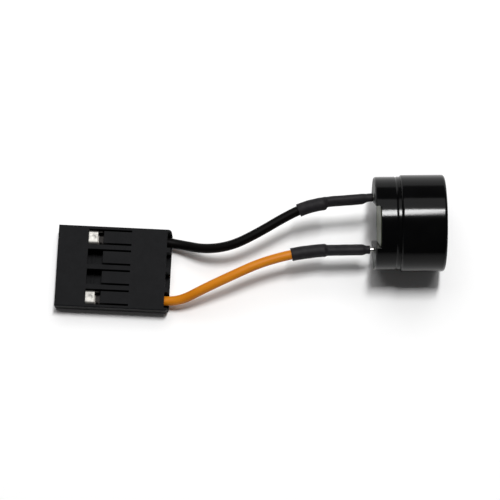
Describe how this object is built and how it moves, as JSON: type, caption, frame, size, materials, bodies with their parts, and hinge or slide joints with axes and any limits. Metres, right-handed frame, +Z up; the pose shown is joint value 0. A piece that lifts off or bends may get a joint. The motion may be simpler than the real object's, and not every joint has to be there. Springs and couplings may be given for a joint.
{
  "type": "case speaker",
  "caption": "Small round magnetic buzzer on a black and an orange lead that end in a flat crimp housing for header posts; it beeps inside a computer case.",
  "frame": {"origin": "centre of the box of the rigid pieces, on the surface that the part lies on", "axes": "+X from the housing's mating face towards the buzzer's sound face, +Y from the orange lead's way of the housing towards the black lead's, +Z up from the surface"},
  "size_m": [0.0482, 0.018, 0.012],
  "materials": {
    "housing_plastic": "satin moulded",
    "tinned_contact": "bright tin",
    "black_insulation": "satin",
    "orange_insulation": "satin",
    "tinned_strands": "bright tin",
    "shrink_sleeve": "matte",
    "solder": "dull",
    "case_plastic": "gloss",
    "board": "satin",
    "resin": "satin",
    "plated_iron": "satin",
    "coil_winding": "enamelled",
    "ferrite": "dull",
    "spring_metal": "satin"
  },
  "bodies": {
    "root": {"armature_disc": "plated_iron", "board_joint_black": "solder", "board_joint_orange": "solder", "buzzer_base": "case_plastic", "buzzer_cap": "case_plastic", "coil": "coil_winding", "coil_tail_black": "coil_winding", "coil_tail_orange": "coil_winding", "connector_housing": "housing_plastic", "crimp_contact_black": "tinned_contact", "crimp_contact_orange": "tinned_contact", "diaphragm": "spring_metal", "lap_joint_black": "solder", "lap_joint_orange": "solder", "lead_black_conductor": "tinned_strands", "lead_black_insulation": "black_insulation", "lead_orange_conductor": "tinned_strands", "lead_orange_insulation": "orange_insulation", "pole_core": "plated_iron", "resin_seal": "resin", "ring_magnet": "ferrite", "shrink_sleeve_black": "shrink_sleeve", "shrink_sleeve_orange": "shrink_sleeve", "terminal_board": "board", "terminal_pin_black": "tinned_contact", "terminal_pin_orange": "tinned_contact", "yoke_plate": "plated_iron"}
  },
  "joints": []
}
